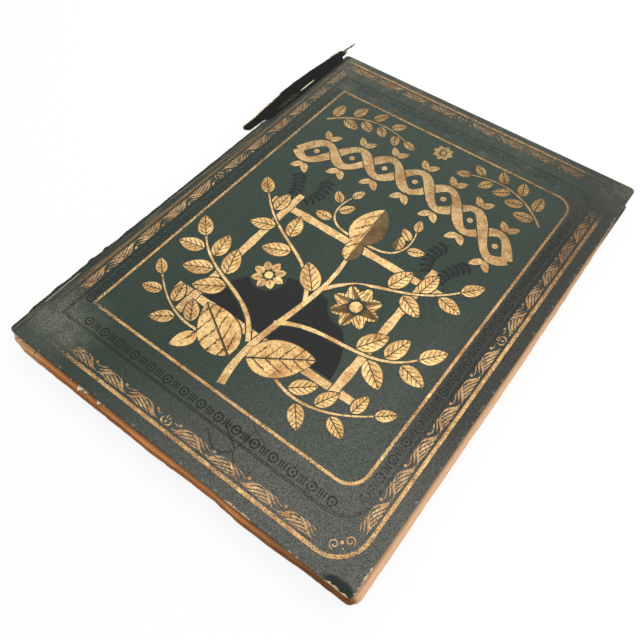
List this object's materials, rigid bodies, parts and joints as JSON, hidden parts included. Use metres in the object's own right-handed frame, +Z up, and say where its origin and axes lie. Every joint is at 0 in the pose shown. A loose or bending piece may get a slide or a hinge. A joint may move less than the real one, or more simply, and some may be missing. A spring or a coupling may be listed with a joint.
{
  "type": "scrapbook",
  "caption": "Large cloth-bound scrapbook with a gilt and black blocked cover, a sewn block of guarded leaves, and a torn strip of spine cloth at the head.",
  "frame": {"origin": "middle of the rear cover's outer face, which lies on the table", "axes": "+X from the spine to the fore edge, +Y from the tail to the head, +Z up out of the front cover"},
  "size_m": [0.3055, 0.398, 0.022],
  "materials": {
    "book_cloth": "grained green book cloth, dulled and rubbed",
    "millboard": "rough brown millboard",
    "endpaper": "smooth cream paper, toned",
    "leaf_paper": "thick toned paper with brown edges",
    "guard_paper": "stout paper",
    "linen_tape": "woven linen",
    "linen_thread": "waxed linen thread",
    "mull_cloth": "open starched cotton",
    "lining_paper": "torn lining paper",
    "gold_foil": "worn gold blocking",
    "black_blocking": "satin black blocking",
    "spine_cloth": "dark torn book cloth"
  },
  "bodies": {
    "rear_cover": {"rear_cloth": "book_cloth", "rear_board": "millboard", "rear_pastedown": "endpaper"},
    "text_block": {"rear_free_endpaper": "endpaper", "section_1": "leaf_paper", "section_2": "leaf_paper", "section_3": "leaf_paper", "section_4": "leaf_paper", "section_5": "leaf_paper", "section_6": "leaf_paper", "guard_strips": "guard_paper", "sewing_tapes": "linen_tape", "sewing_thread": "linen_thread", "mull": "mull_cloth", "spine_paper": "lining_paper"},
    "leaf_1": {"leaf_1": "leaf_paper"},
    "leaf_2": {"leaf_2": "leaf_paper"},
    "leaf_3": {"leaf_3": "leaf_paper"},
    "leaf_4": {"leaf_4": "leaf_paper"},
    "leaf_5": {"leaf_5": "leaf_paper"},
    "front_free_endpaper": {"front_free_endpaper": "endpaper"},
    "front_cover": {"front_pastedown": "endpaper", "front_board": "millboard", "front_cloth": "book_cloth", "outer_gilt_rule": "gold_foil", "gilt_scroll": "gold_foil", "panel_gilt_rule": "gold_foil", "black_band": "black_blocking", "black_ground": "black_blocking", "black_fronds": "black_blocking", "gilt_twist": "gold_foil", "gilt_sticks": "gold_foil", "gilt_stems": "gold_foil", "gilt_leaves": "gold_foil", "gilt_blossoms": "gold_foil"},
    "spine_strip": {"spine_strip": "spine_cloth", "strip_lining": "lining_paper"}
  },
  "joints": [
    {"name": "rear_cover_hinge", "type": "hinge", "parent": "rear_cover", "child": "text_block", "pos_m": [-0.144, 0, 0.00375], "axis": [0, -1, 0], "range_deg": [0, 180]},
    {"name": "front_cover_hinge", "type": "hinge", "parent": "text_block", "child": "front_cover", "pos_m": [-0.144, 0, 0.01575], "axis": [0, -1, 0], "range_deg": [0, 180]},
    {"name": "front_free_endpaper_turn", "type": "hinge", "parent": "text_block", "child": "front_free_endpaper", "pos_m": [-0.1415, 0, 0.01575], "axis": [0, -1, 0], "range_deg": [0, 171]},
    {"name": "leaf_5_turn", "type": "hinge", "parent": "text_block", "child": "leaf_5", "pos_m": [-0.1415, 0, 0.01575], "axis": [0, -1, 0], "range_deg": [0, 158.4]},
    {"name": "leaf_4_turn", "type": "hinge", "parent": "text_block", "child": "leaf_4", "pos_m": [-0.1415, 0, 0.01575], "axis": [0, -1, 0], "range_deg": [0, 142.2]},
    {"name": "leaf_3_turn", "type": "hinge", "parent": "text_block", "child": "leaf_3", "pos_m": [-0.1415, 0, 0.01575], "axis": [0, -1, 0], "range_deg": [0, 19.8]},
    {"name": "leaf_2_turn", "type": "hinge", "parent": "text_block", "child": "leaf_2", "pos_m": [-0.1415, 0, 0.01575], "axis": [0, -1, 0], "range_deg": [0, 10.8]},
    {"name": "leaf_1_turn", "type": "hinge", "parent": "text_block", "child": "leaf_1", "pos_m": [-0.1415, 0, 0.01575], "axis": [0, -1, 0], "range_deg": [0, 4.5]},
    {"name": "spine_strip_hinge", "type": "hinge", "parent": "front_cover", "child": "spine_strip", "pos_m": [-0.144, 0, 0.02185], "axis": [0, -1, 0], "range_deg": [-180, 0]}
  ],
  "couplings": [
    {"joint": "front_free_endpaper_turn", "follows": "front_cover_hinge", "ratio": 0.95},
    {"joint": "leaf_5_turn", "follows": "front_cover_hinge", "ratio": 0.88},
    {"joint": "leaf_4_turn", "follows": "front_cover_hinge", "ratio": 0.79},
    {"joint": "leaf_3_turn", "follows": "front_cover_hinge", "ratio": 0.11},
    {"joint": "leaf_2_turn", "follows": "front_cover_hinge", "ratio": 0.06},
    {"joint": "leaf_1_turn", "follows": "front_cover_hinge", "ratio": 0.025},
    {"joint": "spine_strip_hinge", "follows": "front_cover_hinge", "ratio": -1}
  ]
}
